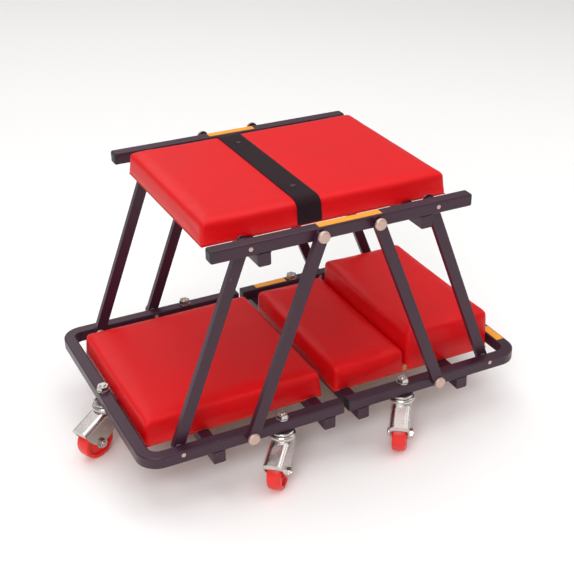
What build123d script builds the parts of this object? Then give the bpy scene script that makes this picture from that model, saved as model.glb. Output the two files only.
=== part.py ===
"""A folding mechanic's creeper that stands up as a rolling seat.

Two base halves roll on three swivel casters each. Eight legs join them to a seat frame, and
every pair of legs is a parallelogram: the seat stands up when the halves meet, and drops
between them, level with their pads, when they roll apart.
X runs along the creeper, Y across it, +Z up, with the origin on the floor under its middle.
"""
import os
from math import cos, radians, sin

from build123d import *

os.makedirs("parts", exist_ok=True)

# Square steel tube of the frame
tube = 19.0
tube_wall = 1.6
tube_corner = 2.5
end_cap_wall = 2.0

# Base halves
base_half_width = 204.0
base_half_length = 314.0
halves_gap = 14.0
bend_radius = 24.0
outer_cross_x = 208.0
inner_cross_x = 29.0

# Legs and their pivots
stand_angle = 69.0
leg_length = 317.0
leg_width = 17.0
leg_thickness = 9.5
leg_wall = 1.5
link_spacing = 103.0
inner_foot_x = 158.0
base_pivot_drop = 6.0
seat_pivot_drop = 9.0
pivot_shank = 6.4
pivot_clearance = 0.05
collar_diameter = 12.0
collar_height = 1.0
leg_side_gap = 0.2
cap_head_diameter = 18.5
cap_head_height = 4.6
low_head_diameter = 15.0
low_head_height = 3.2
head_round = 0.7  # share of a bolt head's height that its rim is rounded by

# Seat frame
seat_rail_length = 400.0
seat_cross_gap = 19.4
cap_dome = 5.5
plug_dome = 3.0
dome_round = 0.62  # share of a dome's height that its rim is rounded by
plug_depth = 14.0
plug_wall = 2.0

# Boards and pads
board_thickness = 9.0
skirt = 2.5
pad_corner = 9.0
pad_edge = 7.2
base_pad_gap = 18.0
base_pad_length = 289.0
base_pad_half_width = 145.0
base_pad_rise = 23.0
headrest_length = 159.0
headrest_rise = 29.0
seat_pad_length = 394.0
seat_pad_half_width = 149.0
seat_pad_rise = 17.5

# Lifting strap and blank labels
strap_width = 38.0
strap_thickness = 2.0
strap_x = -32.0
strap_sink = 1.0
strap_rivet_y = 96.0
strap_rivet_diameter = 9.0
strap_rivet_height = 1.6
label_thickness = 0.4
label_width = 13.0
seat_label_near_x = (-44.0, 55.0)
seat_label_far_x = (-43.0, 37.0)
right_label_x = (31.0, 90.0)
end_label_y = (-160.0, -115.0)

# Screws that hold the boards
screw_diameter = 5.0
screw_head_diameter = 10.0
screw_head_height = 3.2
screw_head_round = 0.45
screw_bite = 7.0
screw_y = 100.0

# Casters
wheel_diameter = 57.0
wheel_clearance = 13.3
wheel_width = 22.0
hub_half_width = 12.5
hub_radius = 9.5
web_recess = 4.0
rim_inner_radius = 22.0
tread_shoulder = 4.0
tread_crown = 0.5
caster_trail = 26.0
axle_diameter = 8.0
axle_head_diameter = 13.0
axle_head_height = 4.0
axle_nut_across = 13.0
axle_nut_height = 4.5
axle_end = 1.5
stem_diameter = 10.0
stem_cap_diameter = 34.0
stem_cap_height = 4.0
kingpin_diameter = 9.0
crown_height = 11.4
crown_plate = 3.6
swivel_gap = 0.3
rivet_head_height = 2.5
fork_sheet = 2.0
neck_half = 17.0
hood_reach = 1.0
hood_rise = 1.0
hood_round = 8.0
lip_drop = 6.0
cheek_radius = 60.0
race_radius = 20.2
race_round = 2.2
cheek_gap = 1.0
washer_diameter = 19.0
washer_height = 1.5
nut_across = 16.0
nut_height = 7.0
nut_chamfer = 0.8
stem_end = 1.5
caster_x = 103.0
axle_boss = 9.0

# Latch between the two inner cross tubes
latch_y = -60.0
latch_plate = 3.0
latch_half_width = 9.0
latch_nose = 11.0
latch_notch = 5.8
latch_peg_diameter = 8.0
latch_head = 2.5
latch_clearance = 0.4

# Places worked out from the sizes above
caster_height = wheel_diameter + wheel_clearance + crown_height + swivel_gap + stem_cap_height
rail_top = caster_height + tube
rail_mid = caster_height + tube / 2
rail_mid_y = base_half_width - tube / 2
rail_inner_y = base_half_width - tube
end_rail_x = halves_gap / 2 + base_half_length - tube / 2
base_pivot_z = rail_top - base_pivot_drop
leg_reach = leg_length * cos(radians(stand_angle))
seat_pivot_z = base_pivot_z + leg_length * sin(radians(stand_angle))
seat_rail_top = seat_pivot_z + seat_pivot_drop
seat_rail_mid = seat_rail_top - tube / 2
foot_x = {"inner": inner_foot_x, "outer": inner_foot_x + link_spacing}
head_x = {name: x - leg_reach for name, x in foot_x.items()}
leg_gap = collar_height + 2 * leg_side_gap
seat_cross_x = head_x["outer"] - seat_cross_gap
base_pad_x = base_pad_gap / 2
base_pad_end = base_pad_x + base_pad_length
headrest_x = base_pad_end - headrest_length
cross_z = caster_height - tube
LEFT, RIGHT = -1, 1
NEAR, FAR = -1, 1
side_names = {LEFT: "left", RIGHT: "right"}
row_names = {NEAR: "near", FAR: "far"}


def save(piece, name):
    """Label a finished piece and write it under its node's name."""
    piece.label = name
    export_step(piece, f"parts/{name}.step")


def caster_spots(side):
    """Where the three casters of one half stand: name, x, y."""
    return [
        ("near", side * caster_x, -rail_mid_y),
        ("end", side * end_rail_x, 0.0),
        ("far", side * caster_x, rail_mid_y),
    ]


def frame_tube(side):
    """One base half's U of bent square tube, drilled for its pivots and caster stems."""
    inner_x = side * halves_gap / 2
    end_x = side * end_rail_x
    with BuildPart() as frame:
        with BuildLine() as run:
            FilletPolyline(
                (inner_x, -rail_mid_y, rail_mid), (end_x, -rail_mid_y, rail_mid),
                (end_x, rail_mid_y, rail_mid), (inner_x, rail_mid_y, rail_mid),
                radius=bend_radius,
            )
        start = Plane(origin=run.line @ 0, x_dir=(0, 1, 0), z_dir=run.line % 0)
        with BuildSketch(start):
            RectangleRounded(tube, tube, tube_corner)
        sweep(path=run.line)
        with BuildSketch(start):
            RectangleRounded(tube - 2 * tube_wall, tube - 2 * tube_wall, tube_corner - tube_wall)
        sweep(path=run.line, mode=Mode.SUBTRACT)
        across = Plane.XZ.offset(-base_half_width)
        with BuildSketch(across):
            with Locations(*[(side * x, base_pivot_z) for x in foot_x.values()]):
                Circle(pivot_shank / 2)
        extrude(amount=2 * base_half_width, mode=Mode.SUBTRACT)
        with BuildSketch(Plane.XY.offset(caster_height)):
            with Locations(*[(x, y) for _, x, y in caster_spots(side)]):
                Circle(stem_diameter / 2)
        extrude(amount=tube, mode=Mode.SUBTRACT)
    return frame.part


def cross_tube(x, top, holes=()):
    """A capped square tube across the frame, welded under both rails."""
    with BuildPart() as bar:
        with BuildSketch(Plane.XZ.offset(-base_half_width)):
            with Locations((x, top - tube / 2)):
                RectangleRounded(tube, tube, tube_corner)
        extrude(amount=2 * base_half_width)
        with BuildSketch(Plane.XZ.offset(end_cap_wall - base_half_width)):
            with Locations((x, top - tube / 2)):
                RectangleRounded(tube - 2 * tube_wall, tube - 2 * tube_wall, tube_corner - tube_wall)
        extrude(amount=2 * (base_half_width - end_cap_wall), mode=Mode.SUBTRACT)
        for hole_y, hole_diameter in holes:
            with BuildSketch(Plane.XY.offset(top - tube)):
                with Locations((x, hole_y)):
                    Circle(hole_diameter / 2)
            extrude(amount=tube, mode=Mode.SUBTRACT)
    return bar.part


def straight_rail(row):
    """One straight seat rail, drilled for the four pivots on its side."""
    with BuildPart() as rail:
        with BuildSketch(Plane.YZ.offset(-seat_rail_length / 2)):
            with Locations((row * rail_mid_y, seat_rail_mid)):
                RectangleRounded(tube, tube, tube_corner)
                RectangleRounded(
                    tube - 2 * tube_wall, tube - 2 * tube_wall, tube_corner - tube_wall,
                    mode=Mode.SUBTRACT,
                )
        extrude(amount=seat_rail_length)
        with BuildSketch(Plane.XZ.offset(-base_half_width)):
            with Locations(*[(side * x, seat_pivot_z) for side in (LEFT, RIGHT) for x in head_x.values()]):
                Circle(pivot_shank / 2)
        extrude(amount=2 * base_half_width, mode=Mode.SUBTRACT)
    return rail.part


def end_plug(x, y, z, outward, dome):
    """A moulded plug pushed into a tube's end, its domed head flush with the tube's sides."""
    fit = tube - 2 * tube_wall
    with BuildPart() as plug:
        with BuildSketch(Plane.YZ.offset(x)):
            with Locations((y, z)):
                RectangleRounded(tube, tube, tube_corner)
        extrude(amount=outward * dome)
        rim = plug.faces().sort_by(Axis.X)[-1 if outward > 0 else 0].edges()
        fillet(rim, dome * dome_round)
        with BuildSketch(Plane.YZ.offset(x)):
            with Locations((y, z)):
                RectangleRounded(fit, fit, tube_corner - tube_wall)
                Rectangle(fit - 2 * plug_wall, fit - 2 * plug_wall, mode=Mode.SUBTRACT)
        extrude(amount=-outward * plug_depth)
    return plug.part


def board(x_low, x_high, half_width, bottom):
    """A plywood board under a pad, with rounded corners."""
    with BuildPart() as sheet_of_ply:
        with BuildSketch(Plane.XY.offset(bottom)):
            with Locations(((x_low + x_high) / 2, 0)):
                RectangleRounded(x_high - x_low, 2 * half_width, pad_corner - skirt)
        extrude(amount=board_thickness)
    return sheet_of_ply.part


def drilled(piece, xs, bottom):
    """The piece with a screw hole above each cross tube, near and far."""
    with BuildPart() as result:
        add(piece)
        with BuildSketch(Plane.XY.offset(bottom)):
            with Locations(*[(x, y) for x in xs for y in (-screw_y, screw_y)]):
                Circle(screw_diameter / 2)
        extrude(amount=screw_bite, mode=Mode.SUBTRACT)
    return result.part


def pad(x_low, x_high, half_width, bottom, top, board_piece, sharp_ends=()):
    """An upholstered pad: soft block with rounded top and corners, wrapped round its board.

    sharp_ends lists the X of ends that butt against another pad and stay square.
    """
    with BuildPart() as cushion:
        with BuildSketch(Plane.XY.offset(bottom)):
            with Locations(((x_low + x_high) / 2, 0)):
                Rectangle(x_high - x_low, 2 * half_width)
        extrude(amount=top - bottom)
        uprights = [
            edge for edge in cushion.edges().filter_by(Axis.Z)
            if not any(abs(edge.center().X - x) < 0.1 for x in sharp_ends)
        ]
        fillet(uprights, pad_corner)
        fillet(cushion.faces().sort_by(Axis.Z)[-1].edges(), pad_edge)
        add(board_piece, mode=Mode.SUBTRACT)
    return cushion.part


def board_screws(xs, top):
    """Four screws up through the cross tubes into a board, as one group."""
    with BuildPart() as screws:
        with BuildSketch(Plane.XY.offset(top - tube - screw_head_height)):
            with Locations(*[(x, y) for x in xs for y in (-screw_y, screw_y)]):
                Circle(screw_head_diameter / 2)
        extrude(amount=screw_head_height)
        rims = screws.edges().filter_by(GeomType.CIRCLE).group_by(Axis.Z)[0]
        fillet(rims, screw_head_height * screw_head_round)
        with BuildSketch(Plane.XY.offset(top - tube)):
            with Locations(*[(x, y) for x in xs for y in (-screw_y, screw_y)]):
                Circle(screw_diameter / 2)
        extrude(amount=tube + screw_bite)
    return screws.part


def leg(side, row, place):
    """One leg: rectangular tube with round ends, bored at both pivots.

    Inner legs run outside the rails and outer legs run inside them.
    """
    foot = Vector(side * foot_x[place], 0, base_pivot_z)
    head = Vector(side * head_x[place], 0, seat_pivot_z)
    if place == "inner":
        low_y = base_half_width + leg_gap - leg_side_gap
    else:
        low_y = rail_inner_y - leg_gap + leg_side_gap - leg_thickness
    start_y = low_y if row == FAR else -low_y - leg_thickness
    middle = (foot + head) * 0.5 + Vector(0, start_y, 0)
    flat = Plane(origin=middle, x_dir=head - foot, z_dir=(0, 1, 0))
    with BuildPart() as bar:
        with BuildSketch(flat):
            SlotCenterToCenter(leg_length, leg_width)
        extrude(amount=leg_thickness)
        with BuildSketch(flat.offset(leg_wall)):
            Rectangle(leg_length + 2 * leg_width, leg_width - 2 * leg_wall)
        extrude(amount=leg_thickness - 2 * leg_wall, mode=Mode.SUBTRACT)
        with BuildSketch(flat):
            with Locations((-leg_length / 2, 0), (leg_length / 2, 0)):
                Circle(pivot_shank / 2 + pivot_clearance)
        extrude(amount=leg_thickness, mode=Mode.SUBTRACT)
    return bar.part


def pivot_bolt(x, z, row, place):
    """One shouldered pivot bolt, from its head by the leg to the rail's far wall.

    The bolt of an inner leg has a tall domed cap outside the leg, and ends inside the tube's
    inner wall. The bolt of an outer leg has a low head on the inner side.
    """
    inward = -row
    if place == "inner":
        head_diameter, head_height = cap_head_diameter, cap_head_height
        seat_y = row * (base_half_width + leg_gap + leg_thickness)
        direction = inward
        rail_face = row * base_half_width
    else:
        head_diameter, head_height = low_head_diameter, low_head_height
        seat_y = row * (rail_inner_y - leg_gap - leg_thickness)
        direction = row
        rail_face = row * rail_inner_y
    axis = Plane(origin=(x, seat_y, z), x_dir=(1, 0, 0), z_dir=(0, direction, 0))
    shoulder = Plane(origin=(x, rail_face, z), x_dir=(1, 0, 0), z_dir=(0, direction, 0))
    with BuildPart() as bolt:
        with BuildSketch(axis):
            Circle(head_diameter / 2)
        extrude(amount=-head_height)
        crown = bolt.faces().sort_by(Axis.Y)[0 if direction > 0 else -1].edges()
        fillet(crown, head_height * head_round)
        with BuildSketch(axis):
            Circle(pivot_shank / 2)
        extrude(amount=leg_thickness + leg_gap + tube)
        with BuildSketch(shoulder):
            Circle(collar_diameter / 2)
        extrude(amount=-collar_height)
    return bolt.part


def pivot_bolts(sides, places_x, z):
    """All pivot bolts that one body carries, as one group of separate solids."""
    with BuildPart() as group:
        for side in sides:
            for row in (NEAR, FAR):
                for place, x in places_x.items():
                    add(pivot_bolt(side * x, z, row, place))
    return group.part


def caster_stems(side):
    """The fixed upper parts of one half's casters: stem with race cap and kingpin, washer, nut."""
    cap_radius, shank, pin = stem_cap_diameter / 2, stem_diameter / 2, kingpin_diameter / 2
    cap_bottom = caster_height - stem_cap_height
    pin_end = cap_bottom - crown_height - 2 * swivel_gap
    head_end = pin_end - rivet_head_height
    nut_bottom = rail_top + washer_height
    top = nut_bottom + nut_height + stem_end
    with BuildPart() as stem:
        with BuildSketch(Plane.XZ):
            with BuildLine():
                Polyline(
                    (0, head_end), (1.4 * pin, head_end), (1.6 * pin, pin_end), (pin, pin_end), (pin, cap_bottom),
                    (cap_radius - 1, cap_bottom), (cap_radius, cap_bottom + 1), (cap_radius, caster_height - 1),
                    (cap_radius - 1, caster_height), (shank, caster_height), (shank, top - 1), (shank - 1, top),
                    (0, top), (0, head_end),
                )
            make_face()
        revolve(axis=Axis.Z)
    with BuildPart() as washer:
        with BuildSketch(Plane.XY.offset(rail_top)):
            Circle(washer_diameter / 2)
            Circle(shank, mode=Mode.SUBTRACT)
        extrude(amount=washer_height)
    with BuildPart() as nut:
        with BuildSketch(Plane.XY.offset(nut_bottom)):
            RegularPolygon(nut_across / 2, 6, major_radius=False)
            Circle(shank, mode=Mode.SUBTRACT)
        extrude(amount=nut_height)
        chamfer(nut.faces().sort_by(Axis.Z)[-1].outer_wire().edges(), nut_chamfer)
    pieces = [stem.part, washer.part, nut.part]
    return Compound(children=[
        piece.moved(Location((x, y, 0))) for _, x, y in caster_spots(side) for piece in pieces
    ])


def long_edges(block, half_width, above):
    """The straight edges along a fork block's two sides, higher than a given Z."""
    return [
        edge for edge in block.edges().filter_by(GeomType.LINE)
        if abs(abs(edge.center().Y) - half_width) < 0.01
        and edge.center().Z > above and abs(edge.tangent_at(0.5).X) > 0.5
    ]


def fork_room():
    """The space under a fork's pressed sheet, where the wheel turns, open below and at the front."""
    crown_bottom = caster_height - stem_cap_height - swivel_gap - crown_height
    hood_x = caster_trail + wheel_diameter / 2 + hood_reach
    hood_z = wheel_diameter + hood_rise
    half = hub_half_width + cheek_gap
    lip = hood_x - 1.5 * fork_sheet
    with BuildPart() as room:
        with BuildSketch(Plane.XZ.offset(-half)):
            Polygon(
                (-2 * wheel_diameter, 0), (-2 * wheel_diameter, crown_bottom), (neck_half - 1, crown_bottom),
                (lip, hood_z - 1.2 * fork_sheet), (lip, 0), align=None,
            )
        extrude(amount=2 * half)
        fillet(long_edges(room, half, hood_z - 1), hood_round - fork_sheet)
    return room.part


def caster_fork():
    """A pressed fork: round-shouldered hood with a turned-down lip, waisted cheeks, ball race.

    Its swivel axis is on Z and its wheel trails along +X.
    """
    crown_top = caster_height - stem_cap_height - swivel_gap
    crown_bottom = crown_top - crown_height
    plate_top = crown_bottom + crown_plate
    axle_z = wheel_diameter / 2
    half = hub_half_width + cheek_gap + fork_sheet
    hood_x = caster_trail + wheel_diameter / 2 + hood_reach
    hood_z = wheel_diameter + hood_rise
    boss_front, boss_back = caster_trail - axle_boss, caster_trail + axle_boss
    with BuildPart() as fork:
        with BuildSketch(Plane.XZ.offset(-half)):
            Polygon(
                (-neck_half, 0), (-neck_half, plate_top), (neck_half, plate_top), (hood_x, hood_z), (hood_x, 0),
                align=None,
            )
        extrude(amount=2 * half)
        fillet(long_edges(fork, half, hood_z - 1), hood_round)
        with BuildSketch(Plane.XZ.offset(-half)):
            with BuildLine():
                Polyline(
                    (-neck_half, crown_bottom), (-neck_half, crown_top), (hood_x + 1, crown_top),
                    (hood_x + 1, hood_z - lip_drop), (hood_x - 1, hood_z - lip_drop),
                )
                RadiusArc((hood_x - 1, hood_z - lip_drop), (boss_back, axle_z), cheek_radius)
                ThreePointArc((boss_back, axle_z), (caster_trail, axle_z - axle_boss), (boss_front, axle_z))
                RadiusArc((boss_front, axle_z), (-neck_half, crown_bottom), cheek_radius)
            make_face()
        extrude(amount=2 * half, mode=Mode.INTERSECT)
        add(fork_room(), mode=Mode.SUBTRACT)
        with BuildSketch(Plane.XZ):
            with BuildLine():
                race_low, race_edge = plate_top - 1, race_radius - race_round
                Polyline((race_edge, crown_top), (0, crown_top), (0, race_low), (race_edge, race_low))
                ThreePointArc(
                    (race_edge, race_low), (race_radius, (race_low + crown_top) / 2), (race_edge, crown_top),
                )
            make_face()
        revolve(axis=Axis.Z)
        with BuildSketch(Plane.XY.offset(crown_bottom)):
            Circle(kingpin_diameter / 2 + pivot_clearance)
        extrude(amount=crown_height, mode=Mode.SUBTRACT)
        with BuildSketch(Plane.XZ.offset(-half)):
            with Locations((caster_trail, axle_z)):
                Circle(axle_diameter / 2)
        extrude(amount=2 * half, mode=Mode.SUBTRACT)
    return fork.part


def caster_axle():
    """The axle bolt across the fork, with its domed head and its nut."""
    outer = hub_half_width + cheek_gap + fork_sheet
    axis = Plane(origin=(caster_trail, -outer, wheel_diameter / 2), x_dir=(1, 0, 0), z_dir=(0, 1, 0))
    with BuildPart() as bolt:
        with BuildSketch(axis):
            Circle(axle_head_diameter / 2)
        extrude(amount=-axle_head_height)
        fillet(bolt.faces().sort_by(Axis.Y)[0].edges(), axle_head_height * 0.55)
        with BuildSketch(axis):
            Circle(axle_diameter / 2)
        extrude(amount=2 * outer + axle_nut_height + axle_end)
        with BuildSketch(axis.offset(2 * outer)):
            RegularPolygon(axle_nut_across / 2, 6, major_radius=False)
        extrude(amount=axle_nut_height)
    return bolt.part


def caster_wheel():
    """A moulded wheel with a round-shouldered tread, dished sides and a bored hub."""
    r = wheel_diameter / 2
    half = wheel_width / 2
    bore = axle_diameter / 2 + pivot_clearance
    web = half - web_recess
    crown_r, crown_y = r - tread_crown, half - tread_shoulder
    shoulder_r, shoulder_y = r - tread_shoulder * 0.29, half - tread_shoulder * 0.33
    with BuildPart() as wheel:
        with BuildSketch(Plane.XY):
            with BuildLine():
                Polyline(
                    (r - tread_shoulder, -half), (rim_inner_radius, -half), (rim_inner_radius - 1.5, -web),
                    (hub_radius + 1, -web), (hub_radius, -hub_half_width), (bore, -hub_half_width),
                    (bore, hub_half_width), (hub_radius, hub_half_width), (hub_radius + 1, web),
                    (rim_inner_radius - 1.5, web), (rim_inner_radius, half), (r - tread_shoulder, half),
                )
                ThreePointArc((r - tread_shoulder, half), (shoulder_r, shoulder_y), (crown_r, crown_y))
                ThreePointArc((crown_r, crown_y), (r, 0), (crown_r, -crown_y))
                ThreePointArc((crown_r, -crown_y), (shoulder_r, -shoulder_y), (r - tread_shoulder, -half))
            make_face()
        revolve(axis=Axis.Y)
    return wheel.part.moved(Location((caster_trail, 0, r)))


def seat_strap():
    """Webbing band right round the seat pad and its board, sunk a little into the pad's top."""
    low = seat_rail_top - tube
    high = seat_rail_top + seat_pad_rise - strap_sink
    height = high - low
    with BuildPart() as band:
        with BuildSketch(Plane.YZ.offset(strap_x - strap_width / 2)):
            with Locations((0, (low + high) / 2)):
                Rectangle(2 * (seat_pad_half_width + strap_thickness), height + 2 * strap_thickness)
        extrude(amount=strap_width)
        fillet(band.edges().filter_by(Axis.X).group_by(Axis.Z)[-1], pad_edge + strap_thickness)
        fillet(band.edges().filter_by(Axis.X).group_by(Axis.Z)[0], strap_thickness)
        with BuildSketch(Plane.YZ.offset(strap_x - strap_width / 2)) as hollow:
            with Locations((0, (low + high) / 2)):
                Rectangle(2 * seat_pad_half_width, height)
            fillet(hollow.vertices().group_by(Axis.Y)[-1], pad_edge)
        extrude(amount=strap_width, mode=Mode.SUBTRACT)
    return band.part


def strap_rivets():
    """Two rivets through the strap, near and far, into the pad under it."""
    top = seat_rail_top + seat_pad_rise - strap_sink + strap_thickness
    with BuildPart() as rivets:
        with BuildSketch(Plane.XY.offset(top)):
            with Locations((strap_x, -strap_rivet_y), (strap_x, strap_rivet_y)):
                Circle(strap_rivet_diameter / 2)
        extrude(amount=strap_rivet_height)
        fillet(rivets.edges().filter_by(GeomType.CIRCLE).group_by(Axis.Z)[-1], strap_rivet_height * 0.7)
    return rivets.part


def label(x_low, x_high, y_low, y_high, z):
    """A blank label stuck on top of a rail."""
    with BuildPart() as sticker:
        with BuildSketch(Plane.XY.offset(z)):
            with Locations(((x_low + x_high) / 2, (y_low + y_high) / 2)):
                Rectangle(x_high - x_low, y_high - y_low)
        extrude(amount=label_thickness)
    return sticker.part


def latch_hook():
    """A flat hook that turns under the left inner cross tube and grips the right one's peg."""
    low_y, high_y = latch_y - latch_half_width, latch_y + latch_half_width
    with BuildPart() as hook:
        with BuildSketch(Plane.XY.offset(cross_z - latch_clearance)):
            with Locations((-inner_cross_x, latch_y)):
                Circle(latch_half_width)
            Polygon(
                (-inner_cross_x, low_y), (-inner_cross_x, high_y), (inner_cross_x + latch_nose, high_y),
                (inner_cross_x + latch_nose, low_y), align=None,
            )
            with Locations((inner_cross_x, latch_y - latch_half_width)):
                Rectangle(2 * latch_notch, 2 * latch_half_width, mode=Mode.SUBTRACT)
            with Locations((inner_cross_x, latch_y)):
                Circle(latch_notch, mode=Mode.SUBTRACT)
            with Locations((-inner_cross_x, latch_y)):
                Circle(latch_peg_diameter / 2 + pivot_clearance, mode=Mode.SUBTRACT)
        extrude(amount=-latch_plate)
    return hook.part


def latch_pin(x):
    """A shouldered pin under a cross tube, headed below the hook's plate."""
    reach = latch_plate + 2 * latch_clearance
    with BuildPart() as pin:
        with BuildSketch(Plane.XY.offset(cross_z)):
            with Locations((x, latch_y)):
                Circle(latch_peg_diameter / 2)
        extrude(amount=-reach)
        with BuildSketch(Plane.XY.offset(cross_z - reach)):
            with Locations((x, latch_y)):
                Circle(latch_peg_diameter / 2 + latch_head)
        extrude(amount=-latch_head)
        fillet(pin.edges().filter_by(GeomType.CIRCLE).group_by(Axis.Z)[0], latch_head * 0.4)
    return pin.part


# The two base halves
screw_holes = [(y, screw_diameter) for y in (-screw_y, screw_y)]
for side in (LEFT, RIGHT):
    word = side_names[side]
    cross_xs = (side * outer_cross_x, side * inner_cross_x)
    save(frame_tube(side), f"{word}_frame_tube")
    save(cross_tube(cross_xs[0], caster_height, screw_holes), f"{word}_outer_cross_tube")
    save(cross_tube(cross_xs[1], caster_height, screw_holes), f"{word}_inner_cross_tube")
    low, high = sorted((side * base_pad_x, side * base_pad_end))
    base_board = board(low + skirt, high - skirt, base_pad_half_width - skirt, caster_height)
    save(drilled(base_board, cross_xs, caster_height), f"{word}_board")
    pad_top = rail_top + base_pad_rise
    if side == LEFT:
        save(pad(low, high, base_pad_half_width, caster_height, pad_top, base_board), "left_pad")
    else:
        main_pad = pad(low, headrest_x, base_pad_half_width, caster_height, pad_top, base_board, (headrest_x,))
        save(main_pad, "right_pad")
        rest_top = pad_top + headrest_rise
        rest = pad(headrest_x, high, base_pad_half_width, caster_height, rest_top, base_board, (headrest_x,))
        save(rest, "headrest")
    save(board_screws(cross_xs, caster_height), f"{word}_board_screws")
    with BuildPart() as plugs:
        for row in (NEAR, FAR):
            add(end_plug(side * halves_gap / 2, row * rail_mid_y, rail_mid, -side, plug_dome))
    save(plugs.part, f"{word}_end_plugs")
    save(caster_stems(side), f"{word}_caster_stems")
    with BuildPart() as pivots:
        add(pivot_bolts((side,), foot_x, base_pivot_z))
        if side == LEFT:
            add(latch_pin(-inner_cross_x))
    save(pivots.part, f"{word}_pivot_bolts")

# The seat frame and what it carries
for row in (NEAR, FAR):
    save(straight_rail(row), f"seat_{row_names[row]}_rail")
seat_under = seat_rail_top - tube
for side in (LEFT, RIGHT):
    save(cross_tube(side * seat_cross_x, seat_under, screw_holes), f"seat_{side_names[side]}_cross_tube")
seat_half = seat_pad_length / 2
seat_board = board(skirt - seat_half, seat_half - skirt, seat_pad_half_width - skirt, seat_under)
save(drilled(seat_board, (-seat_cross_x, seat_cross_x), seat_under), "seat_board")
seat_pad_top = seat_rail_top + seat_pad_rise
strap = seat_strap()
with BuildPart() as seat_cushion:
    add(pad(-seat_half, seat_half, seat_pad_half_width, seat_under, seat_pad_top, seat_board))
    add(strap, mode=Mode.SUBTRACT)
save(seat_cushion.part, "seat_pad")
save(board_screws((-seat_cross_x, seat_cross_x), seat_under), "seat_board_screws")
with BuildPart() as rail_caps:
    for row in (NEAR, FAR):
        for outward in (-1, 1):
            add(end_plug(outward * seat_rail_length / 2, row * rail_mid_y, seat_rail_mid, outward, cap_dome))
save(rail_caps.part, "seat_rail_caps")
save(pivot_bolts((LEFT, RIGHT), head_x, seat_pivot_z), "seat_pivot_bolts")
save(strap, "seat_strap")
save(strap_rivets(), "strap_rivets")

# Blank labels
label_low = rail_mid_y - label_width / 2
label_high = rail_mid_y + label_width / 2
with BuildPart() as seat_labels:
    add(label(*seat_label_near_x, -label_high, -label_low, seat_rail_top))
    add(label(*seat_label_far_x, label_low, label_high, seat_rail_top))
save(seat_labels.part, "seat_labels")
with BuildPart() as right_labels:
    add(label(*right_label_x, label_low, label_high, rail_top))
    add(label(end_rail_x - label_width / 2, end_rail_x + label_width / 2, *end_label_y, rail_top))
save(right_labels.part, "right_labels")

# Legs
for side in (LEFT, RIGHT):
    for place in ("inner", "outer"):
        for row in (NEAR, FAR):
            save(leg(side, row, place), f"{side_names[side]}_{place}_leg_{row_names[row]}")

# Casters: each fork trails its own way, and opposite casters trail opposite ways
fork, axle, wheel = caster_fork(), caster_axle(), caster_wheel()
trail_angles = {
    "left_near": 228.0, "left_end": 205.0, "left_far": 55.0,
    "right_near": 235.0, "right_end": 25.0, "right_far": 48.0,
}
for side in (LEFT, RIGHT):
    for spot, x, y in caster_spots(side):
        name = f"{side_names[side]}_{spot}"
        place = Location((x, y, 0), (0, 0, trail_angles[name]))
        save(fork.moved(place), f"{name}_caster_fork")
        save(axle.moved(place), f"{name}_caster_axle")
        save(wheel.moved(place), f"{name}_caster_wheel")

# Latch
save(latch_hook(), "latch_hook")
save(latch_pin(inner_cross_x), "latch_peg")
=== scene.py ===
"""Looks of a folding creeper that stands up as a rolling seat, built round its CAD frame."""
import math
import random

import bmesh
import bpy
from bpy.props import FloatProperty, FloatVectorProperty, IntProperty, PointerProperty
from mathutils import Matrix, Vector
from mathutils.bvhtree import BVHTree


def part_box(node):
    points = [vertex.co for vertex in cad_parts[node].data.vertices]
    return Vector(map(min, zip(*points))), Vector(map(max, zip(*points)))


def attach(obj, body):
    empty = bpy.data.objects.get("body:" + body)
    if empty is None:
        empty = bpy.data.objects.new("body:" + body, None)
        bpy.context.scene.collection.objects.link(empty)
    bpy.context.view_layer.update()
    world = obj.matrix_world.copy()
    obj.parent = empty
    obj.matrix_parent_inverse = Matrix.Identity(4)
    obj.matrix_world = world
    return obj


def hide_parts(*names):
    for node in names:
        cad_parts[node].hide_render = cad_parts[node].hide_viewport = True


bl_info = {
    "name": "Folding Creeper Seat",
    "version": (1, 0, 0),
    "blender": (4, 5, 0),
    "location": "View3D > Sidebar > Creeper",
    "description": "Pads, strap, hems, welds and finishes for a folding creeper",
    "category": "Object",
}

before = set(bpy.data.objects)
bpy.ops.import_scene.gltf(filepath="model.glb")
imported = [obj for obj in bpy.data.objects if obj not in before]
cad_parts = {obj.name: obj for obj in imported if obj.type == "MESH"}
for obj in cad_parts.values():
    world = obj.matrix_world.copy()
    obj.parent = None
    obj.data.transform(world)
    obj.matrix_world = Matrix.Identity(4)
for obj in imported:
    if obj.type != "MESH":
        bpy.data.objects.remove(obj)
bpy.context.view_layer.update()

MM = 0.001
SIDES = ("left", "right")
SPOTS = ("near", "end", "far")
BOARDS = (("left", "base_left"), ("right", "base_right"), ("seat", "seat"))


# Sizes and colours that a user would change

def linear(code):
    """An sRGB hex colour as linear red, green and blue."""
    values = [int(code[i:i + 2], 16) / 255 for i in (0, 2, 4)]
    return tuple(v / 12.92 if v <= 0.04045 else ((v + 0.055) / 1.055) ** 2.4 for v in values)


def colour(code, name, description):
    """A colour property with an sRGB hex default."""
    return FloatVectorProperty(
        name=name, description=description, subtype="COLOR", size=3, min=0, max=1, default=linear(code),
    )


def length(default_mm, name, description):
    """A length property, given in millimetres and kept in metres."""
    return FloatProperty(
        name=name, description=description, subtype="DISTANCE", unit="LENGTH", min=0,
        default=default_mm * MM,
    )


def number(default, name, description):
    """A plain number property."""
    return FloatProperty(name=name, description=description, default=default, min=0)


def count(default, name, description):
    """A whole number property."""
    return IntProperty(name=name, description=description, default=default, min=2)


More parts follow.
